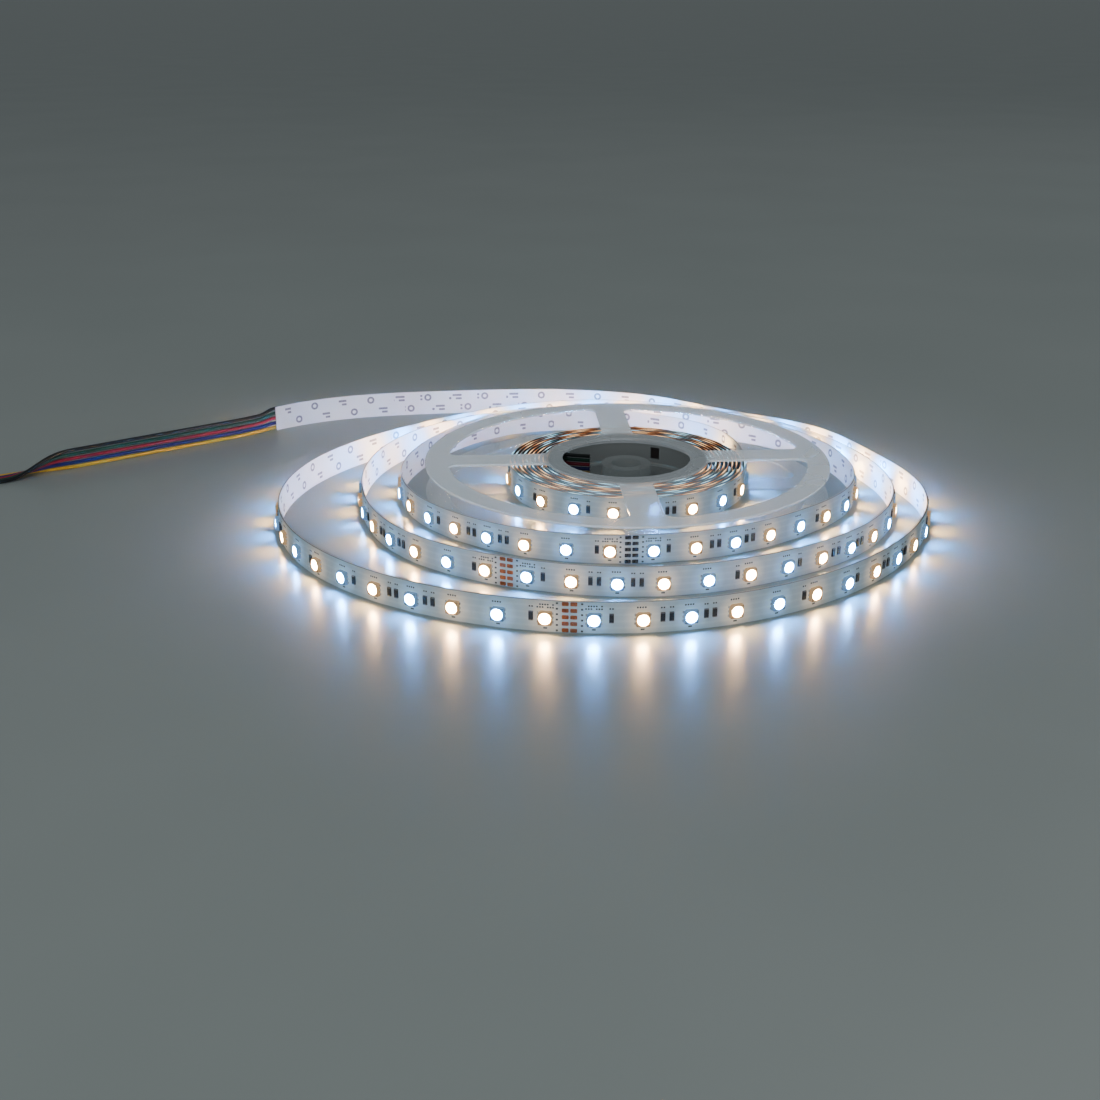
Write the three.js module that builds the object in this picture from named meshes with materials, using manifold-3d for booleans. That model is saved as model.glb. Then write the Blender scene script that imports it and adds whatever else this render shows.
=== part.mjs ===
// LED strip light on its reel, standing on a flat surface.
// Three loose turns of strip stand on edge around a two-flange reel,
// the rest of the strip is wound on the reel's drum, and five leads leave the strip's outer end.
// Millimetres and degrees, +Z up. The model is laid out about the reel's axis,
// then moved so that its origin is under the middle of the reel and strip.

import * as THREE from 'three';
import { mergeVertices } from 'three/addons/utils/BufferGeometryUtils.js';
import Module from 'manifold-3d';

const wasm = await Module();
wasm.setup();

// Strip: a printed tape with square light packages on its outer face and a release liner behind it
const tapeWidth = 12;
const tapeThickness = 0.3;
const linerGap = 0.1;
const linerThickness = 0.15;
const ledsPerMetre = 60;
const ledSize = 5;
const ledHeight = 1.6;
const ledDrop = 0.45;
const ledRoot = 0.1;
const sectionLength = 400;
const jointGap = 0.3;

// Reel: two flanges with four windows each, and between them a hub with a floor, a drum wall and a boss
const flangeRadius = 88.2;
const flangeThickness = 1;
const rimWidth = 9.7;
const drumMargin = 2.5;
const windowCornerRadius = 4;
const spokeWidth = 14;
const spokeTurn = 3.5;
const spokeCount = 4;
const drumRadius = 33;
const drumWall = 1.2;
const hubHoleRadius = 28;
const collarWall = 1.2;
const collarHeadroom = 0.55;
const bossRadius = 11;
const bossWall = 4.5;
const bossHeight = 10.7;
const seatGap = 0.3;
const tapeClearance = 0.2;
const eyeSlotWidth = 5;
const eyeSlotLow = 4.2;
const eyeSlotHigh = 9.8;
const eyeSlotAngle = 62.7;
const leadSlotWidth = 6;

// Wound strip: turns on the drum, one inside the other
const woundTurns = 9.6;
const turnPitch = 1.8;
const turnGap = 0.3;
const woundStartAngle = 1230;
const woundLedAngle = 325;
const woundLedRoot = 0.5;

// Leads: five wires side by side in a flat ribbon
const wireDiameter = 1.7;
const wirePitch = 2;
const padPitch = 2.44;
const padReach = 3.5;
const wireFloorGap = 0.15;
const fanEnd = 12;
const twistStart = 104;
const twistEnd = 138;
const tinnedDiameter = 0.9;
const tinnedLength = 6;

// Facets of the round shapes
const flangeSides = 80;
const windowOuterSides = 12;
const windowInnerSides = 8;
const cornerSides = 3;
const drumSides = 60;
const bossSides = 28;
const woundStepsPerTurn = 36;
const wireSides = 8;
const wireSteps = 25;
const stubSteps = 6;

// Route of the loose turns: the strip's outer face at equal steps of turning, clockwise from the joint
// with the leads. The first list is the distance outside the rim, the second outside the wound strip.
const routeStartAngle = 152.4;
const routeStep = 24;
const rimClearance = 0.3;
const distancesOutsideRim = [
  106.5, 115.5, 58, 38.5, 25.5, 6.5, 22.5, 21, 41, 47, 55.5, 65.5, 70, 72, 67, 49, 26.5,
  18.5, 17.5, 12, 6.5, 12, 16.5, 27.5, 31, 30, 35, 34, 37, 29, 24.5, 21, 12, 6, 3, -0.5,
  8.5, 9, 12, 2, 0.5, 1, 5, 7.5, 11.5, 9.5, 5, 7.5, 2,
];
const distancesOutsideWinding = [21, 18, 7.5, 0.5, -3.5, 1.5];
const rampStartAngle = 1040;
const rampEndAngle = 1108;

// Route of the leads over the surface, from the strip's outer end to their bare ends
const leadRoute = [
  [-185, 77.5], [-202, 64.5], [-219, 52], [-236, 39.5], [-253, 27], [-270, 15.5], [-289, 4],
];
// Free ends of the short inner leads, inside the hub
const stubEnd = [-15.5, 14.5];

const fullTurn = 360;

// Sizes that follow from the ones above
const ledPitch = 1000 / ledsPerMetre;
const tapeLift = flangeThickness + tapeClearance;
const flangeGap = tapeWidth + 2 * tapeClearance;
const upperFlangeLow = flangeThickness + flangeGap;
const windowOuterRadius = flangeRadius - rimWidth;
const windowInnerRadius = drumRadius + drumMargin;
const drumBore = drumRadius - drumWall;
const innerWindingRadius = drumRadius + seatGap;
const windingThickness = turnPitch - turnGap;
const outerWindingRadius = innerWindingRadius + windingThickness + turnPitch * woundTurns;
const woundEndAngle = woundStartAngle + fullTurn * woundTurns;

// Colours, roughness and metalness
const clearPlastic = { color: 0xcfd6d6, roughness: 0.25, metalness: 0 };
const whiteTape = { color: 0xe9eef0, roughness: 0.5, metalness: 0 };
const linerPaper = { color: 0xe4e6ea, roughness: 0.7, metalness: 0 };
const woundTape = { color: 0xd8b79a, roughness: 0.5, metalness: 0 };
const tinnedCopper = { color: 0xb9bcc0, roughness: 0.35, metalness: 1 };
const wireColours = [
  ['yellow', 0xc99a12],
  ['blue', 0x16267e],
  ['red', 0xa3102c],
  ['green', 0x0b5a38],
  ['black', 0x16191a],
];

function radians(degrees) {
  return THREE.MathUtils.degToRad(degrees);
}

function onCircle(radius, degrees) {
  const angle = radians(degrees);
  return new THREE.Vector2(radius * Math.cos(angle), radius * Math.sin(angle));
}

function arcPoints(centre, radius, fromDegrees, toDegrees, sides) {
  const points = [];
  for (let i = 0; i <= sides; i += 1) {
    const degrees = fromDegrees + ((toDegrees - fromDegrees) * i) / sides;
    points.push(onCircle(radius, degrees).add(centre));
  }
  return points;
}

function circlePoints(radius, sides) {
  return arcPoints(new THREE.Vector2(), radius, 0, fullTurn, sides).slice(0, -1);
}

function addMesh(group, name, geometry, finish) {
  geometry.computeVertexNormals();
  const mesh = new THREE.Mesh(geometry, new THREE.MeshStandardMaterial(finish));
  mesh.name = name;
  group.add(mesh);
  return mesh;
}

// Closed solids for cutting and joining
function toSolid(geometry) {
  const bare = geometry.clone();
  bare.deleteAttribute('normal');
  bare.deleteAttribute('uv');
  const merged = mergeVertices(bare);
  return new wasm.Manifold(new wasm.Mesh({
    numProp: 3,
    vertProperties: new Float32Array(merged.attributes.position.array),
    triVerts: new Uint32Array(merged.index.array),
  }));
}

function fromSolid(solid) {
  const mesh = solid.getMesh();
  const geometry = new THREE.BufferGeometry();
  geometry.setAttribute('position', new THREE.BufferAttribute(mesh.vertProperties, mesh.numProp));
  geometry.setIndex(new THREE.BufferAttribute(mesh.triVerts, 1));
  return geometry;
}

function plate(outline, holes, low, high) {
  const shape = new THREE.Shape(outline);
  shape.holes = holes.map((points) => new THREE.Path(points));
  const geometry = new THREE.ExtrudeGeometry(shape, { depth: high - low, bevelEnabled: false, steps: 1 });
  return geometry.translate(0, 0, low);
}

function ring(outerRadius, innerRadius, sides, low, high) {
  return plate(circlePoints(outerRadius, sides), [circlePoints(innerRadius, sides)], low, high);
}

// The route's radius is a cubic blend of the listed distances, which turns into the winding's spiral
const routeRadii = [
  ...distancesOutsideRim.map((distance) => flangeRadius + rimClearance + distance),
  ...distancesOutsideWinding.map((distance) => outerWindingRadius + distance),
];

function routeRadius(turned) {
  const position = turned / routeStep;
  const index = Math.min(Math.floor(position), routeRadii.length - 4);
  const part = position - index;
  const rest = 1 - part;
  const weights = [
    rest ** 3,
    3 * part ** 3 - 6 * part ** 2 + 4,
    -3 * part ** 3 + 3 * part ** 2 + 3 * part + 1,
    part ** 3,
  ];
  const sum = weights.reduce((total, weight, i) => total + weight * routeRadii[index + i], 0);
  return sum / weights.reduce((total, weight) => total + weight, 0);
}

function windingRadius(turned) {
  return outerWindingRadius - (turnPitch * (turned - woundStartAngle)) / fullTurn;
}

function routePoint(turned) {
  return onCircle(routeRadius(turned), routeStartAngle - turned);
}

// The strip climbs from the surface onto the lower flange before it crosses the rim
function lift(turned) {
  return tapeLift * THREE.MathUtils.smoothstep(turned, rampStartAngle, rampEndAngle);
}

// Places along the loose strip, found by its length from the joint with the leads
const turnedPerSample = 0.25;
const samples = [{ turned: 0, length: 0 }];
for (let turned = turnedPerSample; turned <= woundStartAngle; turned += turnedPerSample) {
  const last = samples[samples.length - 1];
  const step = routePoint(turned).distanceTo(routePoint(last.turned));
  samples.push({ turned, length: last.length + step });
}
const looseLength = samples[samples.length - 1].length;

function turnedAt(length) {
  const after = samples.findIndex((sample) => sample.length >= length);
  if (after < 1) {
    return after === 0 ? 0 : woundStartAngle;
  }
  const next = samples[after];
  const last = samples[after - 1];
  const part = (length - last.length) / (next.length - last.length);
  return last.turned + part * (next.turned - last.turned);
}

// Sections are soldered end to end; the last one runs up to the winding
const sectionCount = Math.max(1, Math.round(looseLength / sectionLength));
const sectionEnds = [];
for (let i = 0; i <= sectionCount; i += 1) {
  sectionEnds.push(i < sectionCount ? i * sectionLength : looseLength);
}

// Corners of a section's faceted outline: one flat facet under each light, one between lights
function sectionStations(index) {
  const from = sectionEnds[index];
  const to = sectionEnds[index + 1];
  const stations = [from];
  for (let length = from + ledPitch / 4; length < to - ledPitch / 8; length += ledPitch / 2) {
    stations.push(length);
  }
  stations.push(to);
  return stations.map((length) => {
    const turned = turnedAt(length);
    return { point: routePoint(turned), low: lift(turned), length };
  });
}

// Offsets an outline inwards by the same distance on every facet
function offsetInwards(stations, distance) {
  return stations.map((station, i) => {
    const before = stations[Math.max(i - 1, 0)].point;
    const after = stations[Math.min(i + 1, stations.length - 1)].point;
    const first = facetNormal(i === 0 ? station.point : before, i === 0 ? after : station.point);
    const isLast = i === stations.length - 1;
    const second = facetNormal(isLast ? before : station.point, isLast ? station.point : after);
    const mitre = first.clone().add(second).divideScalar(1 + first.dot(second));
    return station.point.clone().addScaledVector(mitre, -distance);
  });
}

// The strip runs clockwise, so its outer face is on the left
function facetNormal(from, to) {
  return new THREE.Vector2(from.y - to.y, to.x - from.x).normalize();
}

function trimEnd(end, neighbour, distance) {
  const part = distance / end.point.distanceTo(neighbour.point);
  return {
    point: end.point.clone().lerp(neighbour.point, part),
    low: THREE.MathUtils.lerp(end.low, neighbour.low, part),
    length: THREE.MathUtils.lerp(end.length, neighbour.length, part),
  };
}

function trimmed(stations, distance) {
  const kept = [...stations];
  const last = stations.length - 1;
  kept[0] = trimEnd(stations[0], stations[1], distance);
  kept[last] = trimEnd(stations[last], stations[last - 1], distance);
  return kept;
}

// A band that stands on edge between two outlines
function band(outer, inner, lows, width) {
  const positions = [];
  const index = [];
  outer.forEach((point, i) => {
    const high = lows[i] + width;
    positions.push(point.x, point.y, lows[i], point.x, point.y, high);
    positions.push(inner[i].x, inner[i].y, high, inner[i].x, inner[i].y, lows[i]);
  });
  const corners = 4;
  for (let i = 0; i < outer.length - 1; i += 1) {
    for (let side = 0; side < corners; side += 1) {
      const a = i * corners + side;
      const b = i * corners + ((side + 1) % corners);
      index.push(a, b, a + corners, b, b + corners, a + corners);
    }
  }
  const end = (outer.length - 1) * corners;
  index.push(0, 2, 1, 0, 3, 2);
  index.push(end, end + 1, end + 2, end, end + 2, end + 3);
  const geometry = new THREE.BufferGeometry();
  geometry.setAttribute('position', new THREE.Float32BufferAttribute(positions, 3));
  geometry.setIndex(index);
  return geometry;
}

function ledSolid(point, outwards, low, root) {
  const geometry = new THREE.BoxGeometry(ledHeight + root, ledSize, ledSize);
  const middle = point.clone().addScaledVector(outwards, (ledHeight - root) / 2);
  geometry.rotateZ(outwards.angle());
  geometry.translate(middle.x, middle.y, low + tapeWidth / 2 - ledDrop);
  return toSolid(geometry);
}

// A soldered section of tape with its lights
function stripSection(index) {
  const stations = sectionStations(index);
  const kept = trimmed(stations, jointGap / 2);
  const outer = kept.map((station) => station.point);
  const inner = offsetInwards(kept, tapeThickness);
  const lows = kept.map((station) => station.low);
  const solids = [toSolid(band(outer, inner, lows, tapeWidth))];
  for (let i = 1; i < stations.length - 2; i += 2) {
    const outwards = facetNormal(stations[i].point, stations[i + 1].point);
    const middle = stations[i].point.clone().lerp(stations[i + 1].point, 0.5);
    const low = (stations[i].low + stations[i + 1].low) / 2;
    solids.push(ledSolid(middle, outwards, low, ledRoot));
  }
  return fromSolid(wasm.Manifold.union(solids));
}

// The release liner is one long paper behind every loose section
function releaseLiner() {
  const stations = [];
  for (let i = 0; i < sectionCount; i += 1) {
    stations.push(...sectionStations(i).slice(i === 0 ? 0 : 1));
  }
  const kept = trimmed(stations, jointGap / 2);
  const lows = kept.map((station) => station.low);
  const front = offsetInwards(kept, tapeThickness + linerGap);
  const back = offsetInwards(kept, tapeThickness + linerGap + linerThickness);
  return band(front, back, lows, tapeWidth);
}

// The wound strip is one body: a spiral band with the outer turn's lights
function woundStrip() {
  const step = fullTurn / woundStepsPerTurn;
  const outer = [];
  const inner = [];
  const lows = [];
  const first = woundStartAngle + THREE.MathUtils.radToDeg(jointGap / outerWindingRadius);
  const count = Math.ceil((woundEndAngle - first) / step);
  for (let i = 0; i <= count; i += 1) {
    const turned = Math.min(first + i * step, woundEndAngle);
    outer.push(onCircle(windingRadius(turned), routeStartAngle - turned));
    inner.push(onCircle(windingRadius(turned) - windingThickness, routeStartAngle - turned));
    lows.push(tapeLift);
  }
  const solids = [toSolid(band(outer, inner, lows, tapeWidth))];
  const ledStep = THREE.MathUtils.radToDeg(ledPitch / outerWindingRadius);
  const lastLed = woundStartAngle + woundLedAngle;
  for (let turned = woundStartAngle + ledStep / 2; turned < lastLed; turned += ledStep) {
    const outwards = onCircle(1, routeStartAngle - turned);
    const point = outwards.clone().multiplyScalar(windingRadius(turned));
    solids.push(ledSolid(point, outwards, tapeLift, woundLedRoot));
  }
  return fromSolid(wasm.Manifold.union(solids));
}

// One window: the sector between two spokes, with rounded corners
function windowOutline(quarter) {
  const half = spokeWidth / 2;
  const corner = windowCornerRadius;
  const outerReach = windowOuterRadius - corner;
  const innerReach = windowInnerRadius + corner;
  const outerCentre = new THREE.Vector2(Math.sqrt(outerReach ** 2 - (half + corner) ** 2), half + corner);
  const innerCentre = new THREE.Vector2(Math.sqrt(innerReach ** 2 - (half + corner) ** 2), half + corner);
  const outerAngle = THREE.MathUtils.radToDeg(outerCentre.angle());
  const innerAngle = THREE.MathUtils.radToDeg(innerCentre.angle());
  const origin = new THREE.Vector2();
  const firstHalf = [
    ...arcPoints(innerCentre, corner, 180 + innerAngle, 270, cornerSides),
    ...arcPoints(outerCentre, corner, -90, outerAngle, cornerSides),
  ];
  const secondHalf = firstHalf.map((point) => new THREE.Vector2(point.y, point.x)).reverse();
  const outerArc = arcPoints(origin, windowOuterRadius, outerAngle, 90 - outerAngle, windowOuterSides);
  const innerArc = arcPoints(origin, windowInnerRadius, 90 - innerAngle, innerAngle, windowInnerSides);
  const outline = [...firstHalf, ...outerArc.slice(1, -1), ...secondHalf, ...innerArc.slice(1, -1)];
  const turn = radians((quarter * fullTurn) / spokeCount + spokeTurn);
  return outline.map((point) => point.rotateAround(origin, turn));
}

function flange(holeRadius, low) {
  const holes = [circlePoints(holeRadius, drumSides)];
  for (let quarter = 0; quarter < spokeCount; quarter += 1) {
    holes.push(windowOutline(quarter));
  }
  return plate(circlePoints(flangeRadius, flangeSides), holes, low, low + flangeThickness);
}

function slotCutter(angle, width, low, high) {
  const reach = 3 * drumWall;
  const geometry = new THREE.BoxGeometry(reach, width, high - low);
  geometry.translate(drumRadius - drumWall / 2, 0, (low + high) / 2);
  geometry.rotateZ(radians(angle));
  return toSolid(geometry);
}

const stubAngle = routeStartAngle - woundEndAngle;
const stubLow = flangeThickness + wireFloorGap;
const stubHigh = stubLow + (wireColours.length - 1) * wirePitch + wireDiameter;
const collarLow = stubHigh + collarHeadroom;

// Lower flange: pressed round the foot of the hub
function lowerFlange() {
  return flange(drumRadius + seatGap, 0);
}

// Hub: floor, drum wall and boss in one moulding, with slots for an eye and for the inner leads
function hub() {
  const root = flangeThickness / 2;
  const bore = bossRadius - bossWall;
  const rim = circlePoints(drumRadius, drumSides);
  const floor = plate(rim, [circlePoints(bore, bossSides)], 0, flangeThickness);
  const body = wasm.Manifold.union([
    toSolid(floor),
    toSolid(ring(drumRadius, drumBore, drumSides, root, upperFlangeLow - seatGap)),
    toSolid(ring(bossRadius, bore, bossSides, root, flangeThickness + bossHeight)),
  ]);
  const eyeSlot = slotCutter(eyeSlotAngle, eyeSlotWidth, eyeSlotLow, eyeSlotHigh);
  const leadSlot = slotCutter(stubAngle, leadSlotWidth, flangeThickness, stubHigh + seatGap);
  return fromSolid(body.subtract(eyeSlot).subtract(leadSlot));
}

// Upper flange: a collar under it plugs into the drum, down to above the inner leads
function upperFlange() {
  const collarRadius = drumBore - seatGap;
  const collar = ring(
    collarRadius,
    collarRadius - collarWall,
    drumSides,
    collarLow,
    upperFlangeLow + flangeThickness / 2,
  );
  const body = toSolid(flange(hubHoleRadius, upperFlangeLow)).add(toSolid(collar));
  return fromSolid(body);
}

function tube(points, steps) {
  const path = new THREE.CatmullRomCurve3(points, false, 'centripetal');
  const section = new THREE.Shape(circlePoints(wireDiameter / 2, wireSides));
  return new THREE.ExtrudeGeometry(section, { steps, bevelEnabled: false, extrudePath: path });
}

// Centre line of the lead ribbon: along the strip's end, then over the surface
const jointPoint = routePoint(0);
const jointOutwards = facetNormal(jointPoint, routePoint(turnedPerSample));
const jointForwards = new THREE.Vector2(jointOutwards.y, -jointOutwards.x);
const wireStandoff = wireDiameter / 2 + seatGap;
const ribbonPoints = [padReach, 0].map((along) => jointPoint.clone()
  .addScaledVector(jointForwards, along)
  .addScaledVector(jointOutwards, wireStandoff));
ribbonPoints.push(...leadRoute.map(([x, y]) => new THREE.Vector2(x, y)));

const ribbon = new THREE.CatmullRomCurve3(
  ribbonPoints.map((point) => new THREE.Vector3(point.x, point.y, 0)),
  false,
  'centripetal',
);
const ribbonLength = ribbon.getLength();

// A wire's place: soldered at the strip's wider pitch, then on edge, then flat on the surface
function wirePoint(order, length) {
  const at = ribbon.getPointAt(length / ribbonLength);
  const tangent = ribbon.getTangentAt(length / ribbonLength);
  const twist = (Math.PI / 2) * THREE.MathUtils.smoothstep(length, twistStart, twistEnd);
  const fan = THREE.MathUtils.smoothstep(length, padReach, fanEnd);
  const pitch = THREE.MathUtils.lerp(padPitch, wirePitch, fan);
  const middle = (wireColours.length - 1) / 2;
  const beside = (order - middle) * pitch * Math.sin(twist);
  const rest = wireDiameter / 2 + wireFloorGap + middle * wirePitch * Math.cos(twist);
  const height = THREE.MathUtils.lerp(tapeWidth / 2, rest, fan);
  return new THREE.Vector3(
    at.x - tangent.y * beside,
    at.y + tangent.x * beside,
    height + (order - middle) * pitch * Math.cos(twist),
  );
}

function leadWire(order) {
  const insulated = ribbonLength - tinnedLength;
  const points = [];
  for (let i = 0; i <= wireSteps; i += 1) {
    points.push(wirePoint(order, (insulated * i) / wireSteps));
  }
  return tube(points, wireSteps);
}

// The stripped, tinned strands at a lead's free end
function tinnedEnd(order) {
  const from = wirePoint(order, ribbonLength - tinnedLength + jointGap);
  const to = wirePoint(order, ribbonLength);
  const direction = to.clone().sub(from);
  const geometry = new THREE.CylinderGeometry(
    tinnedDiameter / 2,
    tinnedDiameter / 2,
    direction.length(),
    wireSides,
  );
  const along = direction.clone().normalize();
  geometry.applyQuaternion(new THREE.Quaternion().setFromUnitVectors(new THREE.Vector3(0, 1, 0), along));
  const middle = from.clone().add(to).multiplyScalar(0.5);
  return geometry.translate(middle.x, middle.y, middle.z);
}

// A short inner lead, from the strip's inner end through the drum's slot into the hub
function innerLead(order) {
  const height = stubLow + wireDiameter / 2 + order * wirePitch;
  const start = onCircle(innerWindingRadius - seatGap, stubAngle);
  const inside = onCircle(drumBore - drumWall, stubAngle);
  return tube([
    new THREE.Vector3(start.x, start.y, height),
    new THREE.Vector3(inside.x, inside.y, height),
    new THREE.Vector3(stubEnd[0], stubEnd[1], height),
  ], stubSteps);
}

const model = new THREE.Group();
addMesh(model, 'reel_lower_flange', lowerFlange(), clearPlastic);
addMesh(model, 'reel_hub', hub(), clearPlastic);
addMesh(model, 'reel_upper_flange', upperFlange(), clearPlastic);
addMesh(model, 'wound_strip', woundStrip(), woundTape);
for (let i = 0; i < sectionCount; i += 1) {
  addMesh(model, `strip_section_${i + 1}`, stripSection(i), whiteTape);
}
addMesh(model, 'release_liner', releaseLiner(), linerPaper);
wireColours.forEach(([name, color], order) => {
  addMesh(model, `inner_lead_${name}`, innerLead(order), { color, roughness: 0.4, metalness: 0 });
});

// The leads are laid after the rest is measured, because the origin leaves them out
const bounds = new THREE.Box3().setFromObject(model);
const middle = bounds.getCenter(new THREE.Vector3());

wireColours.forEach(([name, color], order) => {
  addMesh(model, `lead_wire_${name}`, leadWire(order), { color, roughness: 0.4, metalness: 0 });
  addMesh(model, `tinned_end_${name}`, tinnedEnd(order), tinnedCopper);
});

model.position.set(-middle.x, -middle.y, -bounds.min.z);

export default model;
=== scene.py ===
import math
from bisect import bisect_left

import bpy
import bmesh
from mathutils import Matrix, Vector
from mathutils.geometry import tessellate_polygon


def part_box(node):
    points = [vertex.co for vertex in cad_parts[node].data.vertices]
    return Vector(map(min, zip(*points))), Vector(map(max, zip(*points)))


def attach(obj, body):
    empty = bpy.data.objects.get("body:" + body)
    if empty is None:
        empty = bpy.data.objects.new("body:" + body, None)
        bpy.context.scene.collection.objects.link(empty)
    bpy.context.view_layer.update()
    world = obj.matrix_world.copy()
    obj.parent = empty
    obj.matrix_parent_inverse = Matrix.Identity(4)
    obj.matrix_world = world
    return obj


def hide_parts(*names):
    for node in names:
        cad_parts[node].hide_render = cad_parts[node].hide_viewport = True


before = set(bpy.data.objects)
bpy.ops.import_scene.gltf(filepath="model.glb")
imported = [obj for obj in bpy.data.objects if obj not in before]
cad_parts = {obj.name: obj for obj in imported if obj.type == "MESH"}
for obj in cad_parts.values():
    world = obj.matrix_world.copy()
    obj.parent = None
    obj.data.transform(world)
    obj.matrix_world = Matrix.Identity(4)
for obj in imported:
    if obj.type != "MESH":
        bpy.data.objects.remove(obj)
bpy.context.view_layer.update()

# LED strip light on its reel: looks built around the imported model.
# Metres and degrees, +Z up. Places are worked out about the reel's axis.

REEL_LOW, REEL_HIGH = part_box("reel_upper_flange")
AXIS = Vector(((REEL_LOW.x + REEL_HIGH.x) / 2, (REEL_LOW.y + REEL_HIGH.y) / 2, 0))
TURN = 360

# Strip
TAPE_WIDTH = 0.012
TAPE_THICKNESS = 0.0003
TAPE_BEVEL = 0.00005
LINER_GAP = 0.0001
LINER_THICKNESS = 0.00015
LED_PITCH = 1 / 60
LED_SIZE = 0.005
LED_HEIGHT = 0.0016
LED_DROP = 0.00045
LED_UP = TAPE_WIDTH / 2 - LED_DROP
LIGHTS = 6
UNIT_LENGTH = LIGHTS * LED_PITCH
UNITS = 4
SECTION_LENGTH = UNITS * UNIT_LENGTH
SECTION_COUNT = 6
JOINT_GAP = 0.0003

# Route of the loose turns, as in the model: how far the outer face lies outside the rim, and then
# outside the winding, at equal steps of turning
ROUTE_START_ANGLE = 152.4
ROUTE_STEP = 24
RIM_RADIUS = 0.0885
OUTER_WINDING_RADIUS = 0.05208
OUTSIDE_RIM = [
    0.1065, 0.1155, 0.058, 0.0385, 0.0255, 0.0065, 0.0225, 0.021, 0.041, 0.047, 0.0555, 0.0655,
    0.07, 0.072, 0.067, 0.049, 0.0265, 0.0185, 0.0175, 0.012, 0.0065, 0.012, 0.0165, 0.0275,
    0.031, 0.03, 0.035, 0.034, 0.037, 0.029, 0.0245, 0.021, 0.012, 0.006, 0.003, -0.0005,
    0.0085, 0.009, 0.012, 0.002, 0.0005, 0.001, 0.005, 0.0075, 0.0115, 0.0095, 0.005, 0.0075, 0.002,
]
OUTSIDE_WINDING = [0.021, 0.018, 0.0075, 0.0005, -0.0035, 0.0015]
RAMP_START = 1040
RAMP_END = 1108
TAPE_LIFT = 0.0012

# Wound strip
WOUND_START = 1230
WOUND_TURNS = 9.6
WOUND_LED_SPAN = 325
TURN_PITCH = 0.0018
WOUND_LED_HEIGHT = 0.0012

# Reel
FLANGE_RADIUS = 0.0882
FLANGE_THICKNESS = 0.001
UPPER_FLANGE_LOW = 0.0134
WINDOW_OUTER_RADIUS = 0.0785
WINDOW_INNER_RADIUS = 0.0355
WINDOW_CORNER = 0.004
SPOKE_WIDTH = 0.014
SPOKE_TURN = 3.5
SPOKE_COUNT = 4
DRUM_RADIUS = 0.033
DRUM_BORE = 0.0318
DRUM_TOP = 0.0131
HUB_HOLE_RADIUS = 0.028
COLLAR_RADIUS = 0.0315
COLLAR_BORE = 0.0303
COLLAR_LOW = 0.0114
BOSS_RADIUS = 0.011
BOSS_BORE = 0.0065
BOSS_TOP = 0.0117
SEAT_GAP = 0.0003
EYE_SLOT_ANGLE = 62.7
EYE_SLOT_WIDTH = 0.005
EYE_SLOT_LOW = 0.0042
EYE_SLOT_HIGH = 0.0098
LEAD_SLOT_WIDTH = 0.006
LEAD_SLOT_LOW = 0.0014
LEAD_SLOT_HIGH = 0.01115

# Leads
WIRE_DIAMETER = 0.0017
WIRE_PITCH = 0.002
PAD_PITCH = 0.00244
PAD_REACH = 0.0035
WIRE_FLOOR_GAP = 0.00015
WIRE_SEAT_GAP = 0.0003
FAN_END = 0.012
TWIST_START = 0.104
TWIST_END = 0.138
TINNED_DIAMETER = 0.0009
TINNED_LENGTH = 0.006
WIRE_POINTS = 90
WIRE_ROUNDNESS = 6
LEAD_ROUTE = [
    (-0.185, 0.0775), (-0.202, 0.0645), (-0.219, 0.052), (-0.236, 0.0395),
    (-0.253, 0.027), (-0.27, 0.0155), (-0.289, 0.004),
]
STUB_END = (-0.0155, 0.0145)
WIRES = ["yellow", "blue", "red", "green", "black"]
ROWS = range(-2, 3)


# Helpers


def on_circle(radius, degrees):
    angle = math.radians(degrees)
    return Vector((radius * math.cos(angle), radius * math.sin(angle)))


def smoothstep(value, low, high):
    part = min(max((value - low) / (high - low), 0), 1)
    return part * part * (3 - 2 * part)


def mix(a, b, part):
    return a + (b - a) * part


def between(low, high, step):
    count = max(1, round((high - low) / step))
    return [mix(low, high, i / count) for i in range(count + 1)]


def circle(radius, sides):
    angles = [math.tau * i / sides for i in range(sides)]
    return [(radius * math.cos(angle), radius * math.sin(angle)) for angle in angles]


class Run:
    """A fine run of points that can be asked for its place at a length."""

    def __init__(self, points):
        self.points = points
        self.lengths = [0.0]
        for a, b in zip(points, points[1:]):
            self.lengths.append(self.lengths[-1] + (b - a).length)
        self.length = self.lengths[-1]

    def step_at(self, length):
        """The step that holds a length, and the part of it that lies before."""
        after = min(max(bisect_left(self.lengths, length), 1), len(self.points) - 1)
        before = self.lengths[after - 1]
        return after - 1, (length - before) / (self.lengths[after] - before)

    def at(self, length):
        step, part = self.step_at(length)
        a, b = self.points[step:step + 2]
        return a.lerp(b, part), (b - a).normalized()


# Route of the strip

ROUTE_RADII = [RIM_RADIUS + distance for distance in OUTSIDE_RIM]
ROUTE_RADII += [OUTER_WINDING_RADIUS + distance for distance in OUTSIDE_WINDING]


def route_radius(turned):
    position = turned / ROUTE_STEP
    index = min(max(int(position), 0), len(ROUTE_RADII) - 4)
    part = position - index
    weights = (
        (1 - part) ** 3,
        3 * part ** 3 - 6 * part ** 2 + 4,
        -3 * part ** 3 + 3 * part ** 2 + 3 * part + 1,
        part ** 3,
    )
    return sum(w * r for w, r in zip(weights, ROUTE_RADII[index:index + 4])) / sum(weights)


def route_point(turned):
    return on_circle(route_radius(turned), ROUTE_START_ANGLE - turned)


def winding_radius(turned):
    return OUTER_WINDING_RADIUS - TURN_PITCH * (turned - WOUND_START) / TURN


SAMPLE_STEP = 0.25
ROUTE = Run([route_point(i * SAMPLE_STEP) for i in range(int(WOUND_START / SAMPLE_STEP) + 1)])
LOOSE_LENGTH = ROUTE.length


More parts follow.
